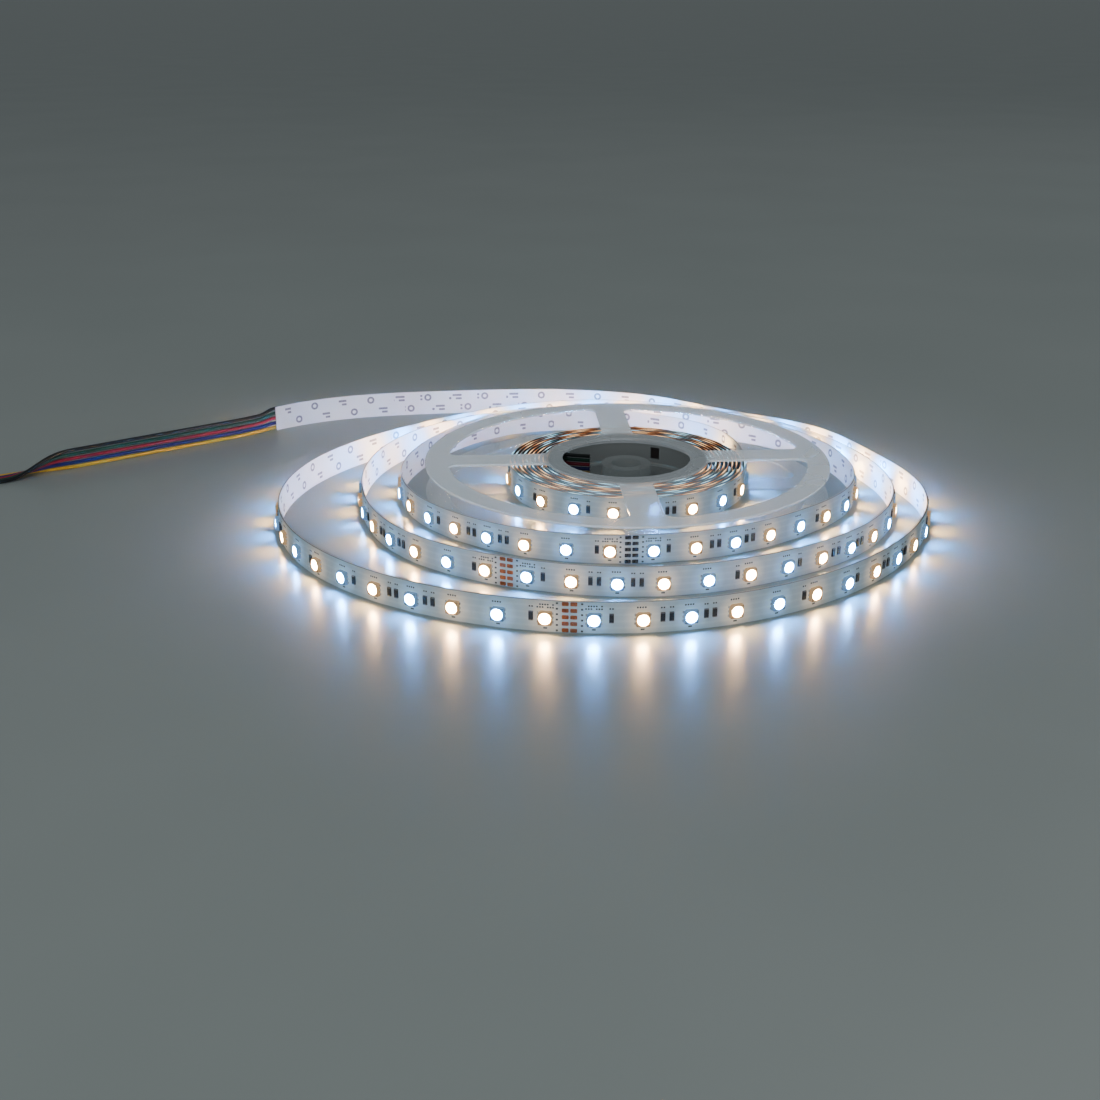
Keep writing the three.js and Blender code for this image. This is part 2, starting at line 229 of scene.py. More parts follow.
class Station:
    """A place on the strip's outer face: its point, the directions and the strip's low edge there."""

    def __init__(self, point, outwards, low, length):
        self.point = point
        self.outwards = outwards
        self.forwards = Vector((outwards.y, -outwards.x))
        self.low = low
        self.length = length

    def spot(self, along, up, out):
        flat = self.point + self.forwards * along + self.outwards * out
        return (AXIS.x + flat.x, AXIS.y + flat.y, self.low + up)

    def outline(self, along, up, points, out):
        return [self.spot(along + x, up + y, out) for x, y in points]


def facing(step):
    """The outward direction beside a step along the strip."""
    return Vector((-step.y, step.x)).normalized()


def loose_station(length):
    turned = sum(ROUTE.step_at(length)) * SAMPLE_STEP
    outwards = facing(route_point(turned + SAMPLE_STEP) - route_point(turned - SAMPLE_STEP))
    low = TAPE_LIFT * smoothstep(turned, RAMP_START, RAMP_END)
    return Station(route_point(turned), outwards, low, length)


LED_STEP = math.degrees(LED_PITCH / OUTER_WINDING_RADIUS)
SECOND_TURN = WOUND_START + TURN
# A place beside a cool light, because the inner lights begin with one
SECOND_TURN_LENGTH = 21.5 * LED_PITCH


def wound_length(turned):
    """The place along the winding, in step with the lights of its outer turn and of the inner ones."""
    if turned < SECOND_TURN:
        return LED_PITCH * (1 + (turned - WOUND_START) / LED_STEP)
    mean_radius = (winding_radius(SECOND_TURN) + winding_radius(turned)) / 2
    return SECOND_TURN_LENGTH + math.radians(turned - SECOND_TURN) * mean_radius


def wound_station(turned):
    angle = ROUTE_START_ANGLE - turned
    point = on_circle(winding_radius(turned), angle)
    return Station(point, on_circle(1, angle), TAPE_LIFT, wound_length(turned))


# Node materials

# The part of a noise's range that is used
CLOUD = (0.3, 0.7)
WHITE = (1, 1, 1)


class Nodes:
    """Builds one procedural material from short calls."""

    def __init__(self, name):
        self.material = bpy.data.materials.new(name)
        self.material.use_nodes = True
        self.tree = self.material.node_tree
        self.shader = self.tree.nodes["Principled BSDF"]

    def fill(self, socket, value):
        """Links an output to a socket, or sets the socket's value."""
        if isinstance(value, bpy.types.NodeSocket):
            self.tree.links.new(value, socket)
        else:
            socket.default_value = value

    def add(self, kind, inputs=(), **settings):
        """A new node with its settings, and with inputs filled by their name or number."""
        node = self.tree.nodes.new(kind)
        for key, value in settings.items():
            setattr(node, key, value)
        for key, value in dict(inputs).items():
            self.fill(node.inputs[key], value)
        return node

    def set(self, **values):
        """Fills the shader's sockets. Their names have _ for a space."""
        for key, value in values.items():
            self.fill(self.shader.inputs[key.replace("_", " ")], value)

    def place(self):
        return self.add("ShaderNodeTexCoord").outputs["Object"]

    def along(self, x=1, y=1):
        """The place along and across a strip, in metres, stretched by x and y."""
        layer = self.add("ShaderNodeUVMap", uv_map="along")
        inputs = {"Vector": layer.outputs["UV"], "Scale": (x, y, 1)}
        return self.add("ShaderNodeMapping", inputs).outputs["Vector"]

    def split(self, vector):
        return self.add("ShaderNodeSeparateXYZ", {"Vector": vector}).outputs

    def math(self, operation, *values):
        return self.add("ShaderNodeMath", enumerate(values), operation=operation).outputs["Value"]

    def distance(self, x, y):
        squares = [self.math("MULTIPLY", side, side) for side in (x, y)]
        return self.math("SQRT", self.math("ADD", *squares))

    def polar(self, per_metre, per_radian):
        """The place round the reel's axis: its distance and its angle, each stretched."""
        place = self.split(self.place())
        x = self.math("SUBTRACT", place["X"], AXIS.x)
        y = self.math("SUBTRACT", place["Y"], AXIS.y)
        reach = self.math("MULTIPLY", self.distance(x, y), per_metre)
        angle = self.math("MULTIPLY", self.math("ARCTAN2", y, x), per_radian)
        return self.add("ShaderNodeCombineXYZ", {"X": reach, "Y": angle}).outputs["Vector"]

    def from_light(self):
        """The distance from a strip's nearest light, as a share of the light pitch."""
        place = self.split(self.along(1 / LED_PITCH, 1 / LED_PITCH))
        x = self.math("SUBTRACT", self.math("FRACT", place["X"]), 0.5)
        return self.distance(x, self.math("SUBTRACT", place["Y"], LED_UP / LED_PITCH))

    def warmth(self):
        """Runs along a strip between 0 beside its cool lights and 1 beside its warm ones."""
        wave = self.math("SINE", self.split(self.along(math.pi / LED_PITCH))["X"])
        return self.math("ADD", self.math("MULTIPLY", wave, 0.5), 0.5)

    def noise(self, vector, scale, detail=3, roughness=0.5):
        inputs = {"Vector": vector, "Scale": scale, "Detail": detail, "Roughness": roughness}
        return self.add("ShaderNodeTexNoise", inputs).outputs["Fac"]

    def ramp(self, value, stops):
        """Colours at places along a value. A grey is given as one number."""
        node = self.add("ShaderNodeValToRGB", {"Fac": value})
        elements = node.color_ramp.elements
        while len(elements) < len(stops):
            elements.new(0.5)
        for element, (position, color) in zip(elements, stops):
            element.position = position
            element.color = (*color, 1) if isinstance(color, tuple) else (color, color, color, 1)
        return node.outputs["Color"]

    def tint(self, value, dark, light, reads=CLOUD):
        """A colour between dark and light after a noise."""
        return self.ramp(value, list(zip(reads, (dark, light))))

    def product(self, first, *others):
        for other in others:
            inputs = {"Factor": 1.0, "A": first, "B": other}
            node = self.add("ShaderNodeMix", inputs, data_type="RGBA", blend_type="MULTIPLY")
            first = node.outputs["Result"]
        return first

    def spread(self, value, low, high):
        """A number between low and high after a noise."""
        inputs = {"From Min": CLOUD[0], "From Max": CLOUD[1], "To Min": low, "To Max": high}
        return self.add("ShaderNodeMapRange", {"Value": value, **inputs}).outputs["Result"]

    def bump(self, height, distance, strength):
        inputs = {"Height": height, "Distance": distance, "Strength": strength}
        self.set(Normal=self.add("ShaderNodeBump", inputs).outputs["Normal"])

    def grained(self, grain, dark, light, gloss, reads=CLOUD):
        """Colour and roughness that both follow one noise."""
        self.set(Base_Color=self.tint(grain, dark, light, reads), Roughness=self.spread(grain, *gloss))
        return self.material


# Lights: how strongly the lenses glow, and the painted glow of the packages around them, of the winding's
# edges, of the tape and of the reel's plastic
LENS_STRENGTH = 260.0
COOL_SHARE = 1.4
PAINTED_HALO_STRENGTH = 1.2
WINDING_PAINTED_GLOW = 2.4
TAPE_PAINTED_GLOW = 0.7
FLANGE_PAINTED_GLOW = 0.11
HUB_PAINTED_GLOW = 0.04
# Painted shade: inside the windows, where the plastic stands over the drum, its colour and glow are darkened
HUB_PAINTED_SHADE = (0.55, 0.56, 0.56)
# Distances from the axis, as shares of the flange's radius, where that shade ends
SHADE_FULL = 0.39
SHADE_GONE = 0.43
# A package's painted halo, by the distance from its middle as a share of 1.5 of its half width
HALO_SHARE = 1 / 1.5
HALO_START = 0.54
HALO_MIDDLE = 0.64
HALO_END = 0.74
HALO_FADED = 0.3
# Half widths of a track on the tape and of its slopes, as shares of the tape's width
TRACK_HALF = 0.062
SLOPE_HALF = 0.072


def reel_plastic(name, dark, light, glow):
    """Milky moulded plastic with a painted glow that stands in for the lights' glow carried through it, and
    painted shade inside the windows.
    """
    n = Nodes(name)
    place = n.place()
    reach = n.split(n.polar(1 / FLANGE_RADIUS, 1))["X"]
    # Painted shade inside the windows
    shade = n.ramp(reach, [(0, HUB_PAINTED_SHADE), (SHADE_FULL, HUB_PAINTED_SHADE), (SHADE_GONE, WHITE)])
    # Painted glow: the lights' glow carried through the plastic
    painted_glow_tint = n.tint(n.noise(place, 20, 2), (0.72, 0.86, 0.94), (0.86, 0.93, 0.98))
    n.set(
        Base_Color=n.product(n.tint(n.noise(place, 14, 2), dark, light), shade),
        Roughness=n.spread(n.noise(place, 30, 2), 0.2, 0.28),
        Emission_Color=n.product(painted_glow_tint, shade),
        Emission_Strength=glow,
        Transmission_Weight=0.78,
        IOR=1.46,
        Coat_Weight=0.3,
        Coat_Roughness=0.1,
    )
    n.bump(n.noise(place, 26, 1), 0.0004, 0.05)
    return n.material


def tape_face():
    """Satin white solder mask: faint raised tracks run along it between darker edges. Painted light tints it
    blue beside cool lights and warm beside warm ones, and a painted glow rings each light.
    """
    n = Nodes("tape_face")
    height = n.split(n.along(1, 1 / TAPE_WIDTH))["Y"]
    face = (0.92, 0.92, 0.92)
    track = (0.85, 0.86, 0.87)
    edge = (0.42, 0.46, 0.50)
    sides = [(-SLOPE_HALF, face), (-TRACK_HALF, track), (TRACK_HALF, track), (SLOPE_HALF, face)]
    bands = [(0, edge), (0.022, edge), (0.03, face)]
    for row in ROWS:
        middle = 0.5 + row * PAD_PITCH / TAPE_WIDTH
        bands += [(middle + side, color) for side, color in sides]
    bands += [(0.97, face), (0.978, edge)]
    stain = n.noise(n.along(), 240, 4)
    cloud = n.tint(stain, (0.93, 0.94, 0.95), WHITE)
    # Painted light: the mask is tinted by its nearest light, and a painted glow surrounds each light
    warmth = n.warmth()
    tint = n.ramp(warmth, [(0, (0.52, 0.76, 0.95)), (0.5, (0.68, 0.83, 0.92)), (1, (0.86, 0.86, 0.82))])
    glow = n.ramp(warmth, [(0, (0.35, 0.66, 1.0)), (0.5, 0.7), (1, (1.0, 0.72, 0.42))])
    painted_glow_falloff = n.ramp(n.from_light(), [(0, 1), (0.14, 1), (0.2, 0.42), (0.42, 0)])
    n.set(
        Base_Color=n.product(n.ramp(height, bands), cloud, tint),
        Roughness=n.spread(stain, 0.36, 0.5),
        Emission_Color=n.product(painted_glow_falloff, glow),
        Emission_Strength=TAPE_PAINTED_GLOW,
    )
    n.bump(n.ramp(height, [(place, color[0] - 0.4) for place, color in bands]), 0.0001, 0.4)
    return n.material


def tape_edge():
    """The cut edge of the tape: amber film between thin copper."""
    n = Nodes("tape_edge")
    grain = n.noise(n.along(1, 8), 700)
    return n.grained(grain, (0.20, 0.17, 0.14), (0.42, 0.36, 0.30), (0.4, 0.6), (0.35, 0.65))


def liner_paper():
    """Coated white paper with fine fibres and a slow ripple."""
    n = Nodes("liner_paper")
    fibre = n.noise(n.along(1, 3), 900, 5, 0.7)
    tint = n.tint(n.noise(n.along(), 60, 2), (0.72, 0.77, 0.79), (0.78, 0.82, 0.83))
    speck = n.ramp(fibre, [(0.3, 0.95), (0.6, 1)])
    n.set(Base_Color=n.product(tint, speck), Roughness=n.spread(fibre, 0.42, 0.6))
    n.bump(fibre, 0.00005, 0.3)
    return n.material


def ink(name, dark, light):
    n = Nodes(name)
    return n.grained(n.noise(n.place(), 1600), dark, light, (0.45, 0.7), (0.35, 0.7))


def wound_edge():
    """Edges of the wound turns: copper and white mask, with painted shade for the gaps between turns, painted
    highlights and painted glints of the lights, changing along each turn, and a painted glow from the lights
    between the turns.
    """
    n = Nodes("wound_edge")
    fine = n.noise(n.along(), 900, 3, 0.6)
    # Copper and white mask, with painted shade for the gaps between turns and painted highlights and glints
    # of the lights
    bands = n.ramp(n.noise(n.polar(420, 1.6), 1, 2), [
        (0.30, (0.05, 0.16, 0.18)),
        (0.38, (0.40, 0.66, 0.72)),
        (0.43, (0.97, 0.92, 0.84)),
        (0.47, (0.95, 0.32, 0.11)),
        (0.55, (0.80, 0.20, 0.07)),
        (0.59, (0.98, 0.74, 0.52)),
        (0.64, (0.30, 0.52, 0.58)),
        (0.70, (0.06, 0.10, 0.11)),
    ])
    # Painted glow of the lights between the turns
    glow = n.ramp(n.warmth(), [
        (0.0, (0.40, 0.80, 1.0)),
        (0.12, (0.05, 0.12, 0.16)),
        (0.5, 0),
        (0.85, (0.28, 0.10, 0.03)),
        (1.0, (1.0, 0.58, 0.28)),
    ])
    n.set(
        Base_Color=n.product(bands, n.ramp(fine, [(0.3, 0.8), (0.65, 1)])),
        Roughness=n.spread(fine, 0.22, 0.42),
        Emission_Color=glow,
        Emission_Strength=WINDING_PAINTED_GLOW,
        Metallic=0.35,
    )
    return n.material


def wound_back_painted_shade():
    """The inner side of the wound turns, painted near black: painted shade between the turns."""
    n = Nodes("wound_back_painted_shade")
    return n.grained(n.noise(n.along(), 500), (0.012, 0.010, 0.010), (0.030, 0.022, 0.022), (0.5, 0.7))


def wire_jacket(name, dark, light):
    """Extruded insulation: a soft gloss with fine drawing lines."""
    n = Nodes("wire_" + name)
    grain = n.noise(n.place(), 2400, 2)
    n.set(
        Base_Color=n.tint(n.noise(n.place(), 140), dark, light),
        Roughness=n.spread(grain, 0.26, 0.4),
        Specular_IOR_Level=0.6,
    )
    n.bump(grain, 0.00003, 0.25)
    return n.material


def metal(name, dark, light, gloss):
    n = Nodes(name)
    grain = n.noise(n.place(), 1800, 4, 0.6)
    n.set(Metallic=1.0)
    n.bump(grain, 0.00004, 0.35)
    return n.grained(grain, dark, light, gloss)


def led_housing(name, dark, light, glow):
    """Moulded package painted in its light's tint as painted light, with a painted glow around its window."""
    n = Nodes(name)
    faded = tuple(HALO_FADED * part for part in glow)
    fading = [(0, glow), (HALO_START, glow), (HALO_MIDDLE, faded), (HALO_END, 0)]
    # Painted halo of the light around its window
    painted_halo = n.ramp(n.split(n.along(HALO_SHARE))["X"], fading)
    n.set(Emission_Color=painted_halo, Emission_Strength=PAINTED_HALO_STRENGTH)
    return n.grained(n.noise(n.place(), 1300), dark, light, (0.35, 0.5))


def lit_lens(name, middle, rim, strength):
    """Silicone window, lit from behind, with a deeper tint at its rim."""
    n = Nodes(name)
    glow = n.ramp(n.split(n.along())["X"], [(0, middle), (0.6, middle), (1, rim)])
    n.set(Emission_Color=glow, Emission_Strength=strength)
    return n.grained(n.noise(n.place(), 2200, 2), rim, middle, (0.2, 0.35))


def resistor_body():
    n = Nodes("resistor_body")
    return n.grained(n.noise(n.place(), 3000), (0.018, 0.018, 0.022), (0.045, 0.045, 0.055), (0.3, 0.5))


WARM_LIGHT = (1.0, 0.66, 0.34)
COOL_LIGHT = (0.36, 0.66, 1.0)
MATERIALS = {
    "flange": reel_plastic("flange_plastic", (0.86, 0.90, 0.95), (0.90, 0.93, 0.97), FLANGE_PAINTED_GLOW),
    # The hub lies wholly inside the painted shade, so its colour and glow are darkened
    "hub": reel_plastic("hub_plastic", (0.64, 0.68, 0.67), (0.76, 0.80, 0.78), HUB_PAINTED_GLOW),
    "face": tape_face(),
    "edge": tape_edge(),
    "liner": liner_paper(),
    "liner_mark": ink("liner_mark", (0.16, 0.17, 0.21), (0.26, 0.27, 0.31)),
    "wound_edge": wound_edge(),
    "wound_back_painted_shade": wound_back_painted_shade(),
    "tinned": metal("tinned", (0.45, 0.45, 0.46), (0.72, 0.72, 0.72), (0.28, 0.45)),
    "solder": metal("solder", (0.50, 0.51, 0.53), (0.78, 0.79, 0.80), (0.22, 0.42)),
    "copper": metal("copper", (0.44, 0.11, 0.055), (0.74, 0.25, 0.12), (0.3, 0.5)),
    # Solder on the joints is painted near black: a painted dark reflection on shiny solder
    "joint": metal("joint", (0.04, 0.04, 0.05), (0.16, 0.16, 0.18), (0.2, 0.4)),
    "cap": metal("resistor_cap", (0.16, 0.16, 0.17), (0.32, 0.32, 0.33), (0.3, 0.5)),
    # Housings are painted in the tint of their own light: painted light on white packages
    "warm_housing": led_housing("led_housing_warm", (0.42, 0.24, 0.11), (0.52, 0.33, 0.17), WARM_LIGHT),
    "cool_housing": led_housing("led_housing_cool", (0.09, 0.19, 0.36), (0.16, 0.28, 0.46), COOL_LIGHT),
    "warm": lit_lens("lens_warm", (1.0, 0.60, 0.26), (1.0, 0.54, 0.20), LENS_STRENGTH),
    "cool": lit_lens("lens_cool", (0.09, 0.40, 1.0), (0.07, 0.36, 1.0), LENS_STRENGTH * COOL_SHARE),
    "resistor": resistor_body(),
    "mark": ink("printed_mark", (0.05, 0.06, 0.07), (0.12, 0.13, 0.15)),
}
WIRE_COLORS = {
    "yellow": ((0.62, 0.36, 0.02), (0.74, 0.46, 0.04)),
    "blue": ((0.008, 0.010, 0.11), (0.014, 0.018, 0.18)),
    "red": ((0.24, 0.006, 0.030), (0.34, 0.012, 0.042)),
    "green": ((0.002, 0.040, 0.026), (0.005, 0.075, 0.048)),
    "black": ((0.004, 0.006, 0.007), (0.010, 0.014, 0.015)),
}
# Inner leads inside the hub get darkened copies of the jacket colours: painted shade
INNER_WIRE_PAINTED_SHADE = 0.35
for wire, (dark, light) in WIRE_COLORS.items():
    MATERIALS["wire_" + wire] = wire_jacket(wire, dark, light)
    shaded = [tuple(part * INNER_WIRE_PAINTED_SHADE for part in shade) for shade in (dark, light)]
    MATERIALS["inner_wire_" + wire] = wire_jacket("inner_" + wire, *shaded)


# Mesh pieces

# Edges that bend by more than this stay sharp
SHARP_ANGLE = 35
REEL_SHARP_ANGLE = 30


def new_object(name, data):
    item = bpy.data.objects.new(name, data)
    bpy.context.scene.collection.objects.link(item)
    return item


class Piece:
    """Gathers closed forms into one named mesh."""

    def __init__(self, name, materials):
        self.name = name
        self.materials = materials
        self.points = []
        self.faces = []
        self.kinds = []
        self.maps = []

    def add(self, points, places=None):
        """Adds points, with their places along and across the strip, and gives their numbers."""
        first = len(self.points)
        self.points += points
        self.maps += places or [(0.0, 0.0)] * len(points)
        return range(first, len(self.points))

    def add_loops(self, points, size, places=None):
        numbers = self.add(points, places)
        return [numbers[i:i + size] for i in range(0, len(numbers), size)]

    def face(self, corners, kind=0):
        self.faces.append(tuple(corners))
        self.kinds.append(kind)

    def wall(self, loops, kind=0):
        """Faces between each loop and the next."""
        for a, b in zip(loops, loops[1:]):
            for i in range(len(a)):
                j = (i + 1) % len(a)
                self.face((a[i], a[j], b[j], b[i]), kind)

    def layers(self, layers, kind=0, places=None):
        """Closed form through loops of equal length, with a cap on the first and the last."""
        loops = self.add_loops([point for layer in layers for point in layer], len(layers[0]), places)
        self.face(reversed(loops[0]), kind)
        self.face(loops[-1], kind)
        self.wall(loops, kind)

    def stack(self, station, along, up, levels, places=None):
        """Closed form on the strip through outlines, each at its distance from the outer face."""
        self.layers([station.outline(along, up, *level) for level in levels], places=places)

    def build(self, slot, replaces=(), sharp=SHARP_ANGLE):
        mesh = bpy.data.meshes.new(self.name)
        mesh.from_pydata(self.points, [], self.faces)
        for key in self.materials:
            mesh.materials.append(MATERIALS[key])
        mesh.polygons.foreach_set("material_index", self.kinds)
        layer = mesh.uv_layers.new(name="along")
        corners = [0] * len(mesh.loops)
        mesh.loops.foreach_get("vertex_index", corners)
        layer.data.foreach_set("uv", [value for corner in corners for value in self.maps[corner]])
        solid = bmesh.new()
        solid.from_mesh(mesh)
        bmesh.ops.recalc_face_normals(solid, faces=solid.faces)
        solid.to_mesh(mesh)
        solid.free()
        mesh.shade_smooth()
        mesh.set_sharp_from_angle(angle=math.radians(sharp))
        piece = new_object(self.name, mesh)
        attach(piece, "root")
        if replaces:
            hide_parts(*replaces)
        return piece


# Camera, at the photograph's viewing angle

CAMERA_LENS = 46.19
CAMERA_REACH = 2000.0
CAMERA_TILT = 68.61
CAMERA_SIDE = -0.0335
CAMERA_BACK = -0.5925
CAMERA_UP = 0.20245

camera_data = bpy.data.cameras.new("camera")
camera_data.lens = CAMERA_LENS
camera_data.clip_end = CAMERA_REACH
camera = new_object("camera", camera_data)
camera.location = AXIS + Vector((CAMERA_SIDE, CAMERA_BACK, CAMERA_UP))
camera.rotation_euler = (math.radians(CAMERA_TILT), 0, 0)
bpy.context.scene.camera = camera


# Leads


def spline_through(points, parts_each):
    """Centripetal curve through the points, as a fine run of points."""
    ends = [points[0] * 2 - points[1]] + points + [points[-1] * 2 - points[-2]]
    fine = []
    for a, b, c, d in zip(ends, points, points[1:], ends[3:]):
        before, here, after = [(q - p).length ** 0.5 for p, q in ((a, b), (b, c), (c, d))]
        first = (b - a) / before - (c - a) / (before + here)
        first = (first + (c - b) / here) * here
        last = (c - b) / here - (d - b) / (here + after)
        last = (last + (d - c) / after) * here
        for j in range(parts_each):
            t = j / parts_each
            fine.append(
                b * (2 * t ** 3 - 3 * t ** 2 + 1)
                + first * (t ** 3 - 2 * t ** 2 + t)
                + c * (-2 * t ** 3 + 3 * t ** 2)
                + last * (t ** 3 - t ** 2)
            )
    return fine + [points[-1]]


JOINT_STATION = Station(route_point(0), facing(route_point(SAMPLE_STEP) - route_point(0)), 0, 0)
RIBBON_STEPS = 100
WIRE_STANDOFF = WIRE_DIAMETER / 2 + WIRE_SEAT_GAP
RIBBON_POINTS = [
    JOINT_STATION.point + JOINT_STATION.forwards * reach + JOINT_STATION.outwards * WIRE_STANDOFF
    for reach in (PAD_REACH, 0)
]
RIBBON_POINTS += [Vector(point) for point in LEAD_ROUTE]
RIBBON = Run(spline_through(RIBBON_POINTS, RIBBON_STEPS))


def wire_point(order, length):
    at, tangent = RIBBON.at(length)
    twist = math.pi / 2 * smoothstep(length, TWIST_START, TWIST_END)
    fan = smoothstep(length, PAD_REACH, FAN_END)
    pitch = mix(PAD_PITCH, WIRE_PITCH, fan)
    middle = (len(WIRES) - 1) / 2
    beside = (order - middle) * pitch * math.sin(twist)
    rest = WIRE_DIAMETER / 2 + WIRE_FLOOR_GAP + middle * WIRE_PITCH * math.cos(twist)
    height = mix(TAPE_WIDTH / 2, rest, fan) + (order - middle) * pitch * math.cos(twist)
    return AXIS + Vector((at.x - tangent.y * beside, at.y + tangent.x * beside, height))


def frames_along(points):
    """A steady pair of side directions at each point of a run."""
    side = None
    frames = []
    for i, point in enumerate(points):
        ahead = (points[min(i + 1, len(points) - 1)] - points[max(i - 1, 0)]).normalized()
        if side is None:
            side = ahead.orthogonal().normalized()
        side = (side - ahead * side.dot(ahead)).normalized()
        frames.append((point, side, ahead.cross(side)))
    return frames


def tube_layers(points, radii, sides):
    layers = []
    for (point, side, other), radius in zip(frames_along(points), radii):
        layers.append([tuple(point + (side * x + other * y) * radius) for x, y in circle(1, sides)])
    return layers


STRAND_COUNT = 7
STRAND_RADIUS = TINNED_DIAMETER / 6
STRAND_TWISTS = 1.5
STRAND_STEPS = 18
STRAND_SIDES = 8
STRAND_FIT = 0.99
STRAND_TIP = 0.6


def tinned_strands(order):
    """Seven twisted strands, tinned together, inside the lead's bare end."""
    wire = WIRES[order]
    piece = Piece("tinned_strands_" + wire, ["tinned"])
    low = RIBBON.length - TINNED_LENGTH + JOINT_GAP
    steps = range(STRAND_STEPS + 1)
    frames = frames_along([wire_point(order, mix(low, RIBBON.length, i / STRAND_STEPS)) for i in steps])
    for number in range(STRAND_COUNT):
        reach = 2 * STRAND_RADIUS if number else 0
        path = []
        for i, (point, side, other) in enumerate(frames):
            angle = math.tau * (number / (STRAND_COUNT - 1) + STRAND_TWISTS * i / STRAND_STEPS)
            path.append(point + (side * math.cos(angle) + other * math.sin(angle)) * reach)
        radii = [STRAND_RADIUS * STRAND_FIT] * STRAND_STEPS + [STRAND_RADIUS * STRAND_TIP]
        piece.layers(tube_layers(path, radii, STRAND_SIDES))
    return piece.build("tinned_copper", ["tinned_end_" + wire])


def lead(order):
    """One insulated lead, from its solder pad over the surface to its bare end."""
    wire = WIRES[order]
    insulated = RIBBON.length - TINNED_LENGTH
    points = [wire_point(order, insulated * i / WIRE_POINTS) for i in range(WIRE_POINTS + 1)]
    curve = bpy.data.curves.new("lead_" + wire, "CURVE")
    curve.dimensions = "3D"
    curve.bevel_depth = WIRE_DIAMETER / 2
    curve.bevel_resolution = WIRE_ROUNDNESS
    curve.use_fill_caps = True
    spline = curve.splines.new("POLY")
    spline.points.add(len(points) - 1)
    for target, point in zip(spline.points, points):
        target.co = (*point, 1)
    spline.use_smooth = True
    curve.materials.append(MATERIALS["wire_" + wire])
    piece = new_object("lead_" + wire, curve)
    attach(piece, "root")
    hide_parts("lead_wire_" + wire)
    round(Run(points).length, 4)
    tinned_strands(order)


for order in range(len(WIRES)):
    lead(order)


# Loose strip

TAPE_STEP = 0.00104


def ribbon(piece, stations, outer, inner, kinds, bevel=TAPE_BEVEL):
    """A band on edge between two distances from the outer face. Kinds: face, edge and back materials."""
    face, edge, back = kinds
    top = TAPE_WIDTH
    section = [
        (outer, bevel), (outer, top - bevel), (outer - bevel, top), (inner + bevel, top),
        (inner, top - bevel), (inner, bevel), (inner + bevel, 0), (outer - bevel, 0),
    ]
    side_kinds = [face, edge, edge, edge, back, edge, edge, edge]
    points = [station.spot(0, up, out) for station in stations for out, up in section]
    places = [(station.length, up) for station in stations for out, up in section]
    loops = piece.add_loops(points, len(section), places)
    piece.face(loops[0], edge)
    piece.face(reversed(loops[-1]), edge)
    for side, kind in enumerate(side_kinds):
        other = (side + 1) % len(section)
        for a, b in zip(loops, loops[1:]):
            piece.face((a[side], a[other], b[other], b[side]), kind)


def loose_tape(index):
    low = index * SECTION_LENGTH + JOINT_GAP / 2
    end = LOOSE_LENGTH if index == SECTION_COUNT - 1 else (index + 1) * SECTION_LENGTH
    stations = [loose_station(length) for length in between(low, end - JOINT_GAP / 2, TAPE_STEP)]
    piece = Piece("strip_tape_%d" % (index + 1), ["face", "edge"])
    ribbon(piece, stations, 0, -TAPE_THICKNESS, (0, 1, 0))
    piece.build("tape_face", ["strip_section_%d" % (index + 1)])


def loose_liner():
    lengths = between(JOINT_GAP / 2, LOOSE_LENGTH - JOINT_GAP / 2, TAPE_STEP)
    stations = [loose_station(length) for length in lengths]
    outer = -TAPE_THICKNESS - LINER_GAP
    piece = Piece("liner_ribbon", ["liner"])
    ribbon(piece, stations, outer, outer - LINER_THICKNESS, (0, 0, 0), bevel=LINER_THICKNESS / 5)
    piece.build("liner_paper", ["release_liner"])


# Parts on the strip's outer face


def plate_outline(width, height, corner):
    """Rectangle with cut corners, in the plane of the strip."""
    x, y = width / 2, height / 2
    left, low = corner - x, corner - y
    upper = [(x, -low), (-left, y), (left, y), (-x, -low)]
    return upper + [(-x, low), (left, -y), (-left, -y), (x, low)]


def shrunk(outline, distance):
    def nearer(value):
        return math.copysign(max(abs(value) - distance, 0), value)
    return [(nearer(x), nearer(y)) for x, y in outline]


def raised(piece, station, along, up, outline, heights, bevel):
    """A small flat part on the strip: an outline raised from the first height to the second."""
    low, high = heights
    levels = [(outline, low), (outline, high - bevel), (shrunk(outline, bevel), high)]
    piece.stack(station, along, up, levels)


LED_SIDES = 32
LED_SQUARENESS = 14
LED_NOTCH = 0.0009
LED_BEVEL = 0.00012
LED_DRAFT = 0.00006
LED_ROOT = 0.00003
WINDOW_RADIUS = 0.0021
WINDOW_DEPTH = 0.00018
# The sides take this distance from the middle in the painted halo, as a share of the half width
SIDE_REACH = 1.02
LENS_RADIUS = 0.002
LENS_FIT = 0.995
# Outlines of the lens: shares of its radius, and heights over the window's floor
LENS_DOME = [(1.0, 0.00001), (1.0, 0.00006), (0.72, 0.00012), (0.38, 0.00015)]
TAB_REACH = 0.00055
TAB_WIDTH = 0.0009
TAB_PITCH = 0.0016
TAB_BEVEL = 0.0001
TAB_ROOT = 0.00015
TAB_HEIGHT = 0.00035


def led_outline(half):
    """Nearly square outline with round corners and one cut corner, in step with the window's."""
    points = []
    for c, s in circle(1, LED_SIDES):
        power = abs(c) ** LED_SQUARENESS + abs(s) ** LED_SQUARENESS
        radius = half / power ** (1 / LED_SQUARENESS)
        if c > 0 and s > 0:
            radius = min(radius, (2 * half - LED_NOTCH) / (c + s))
        points.append((radius * c, radius * s))
    return points


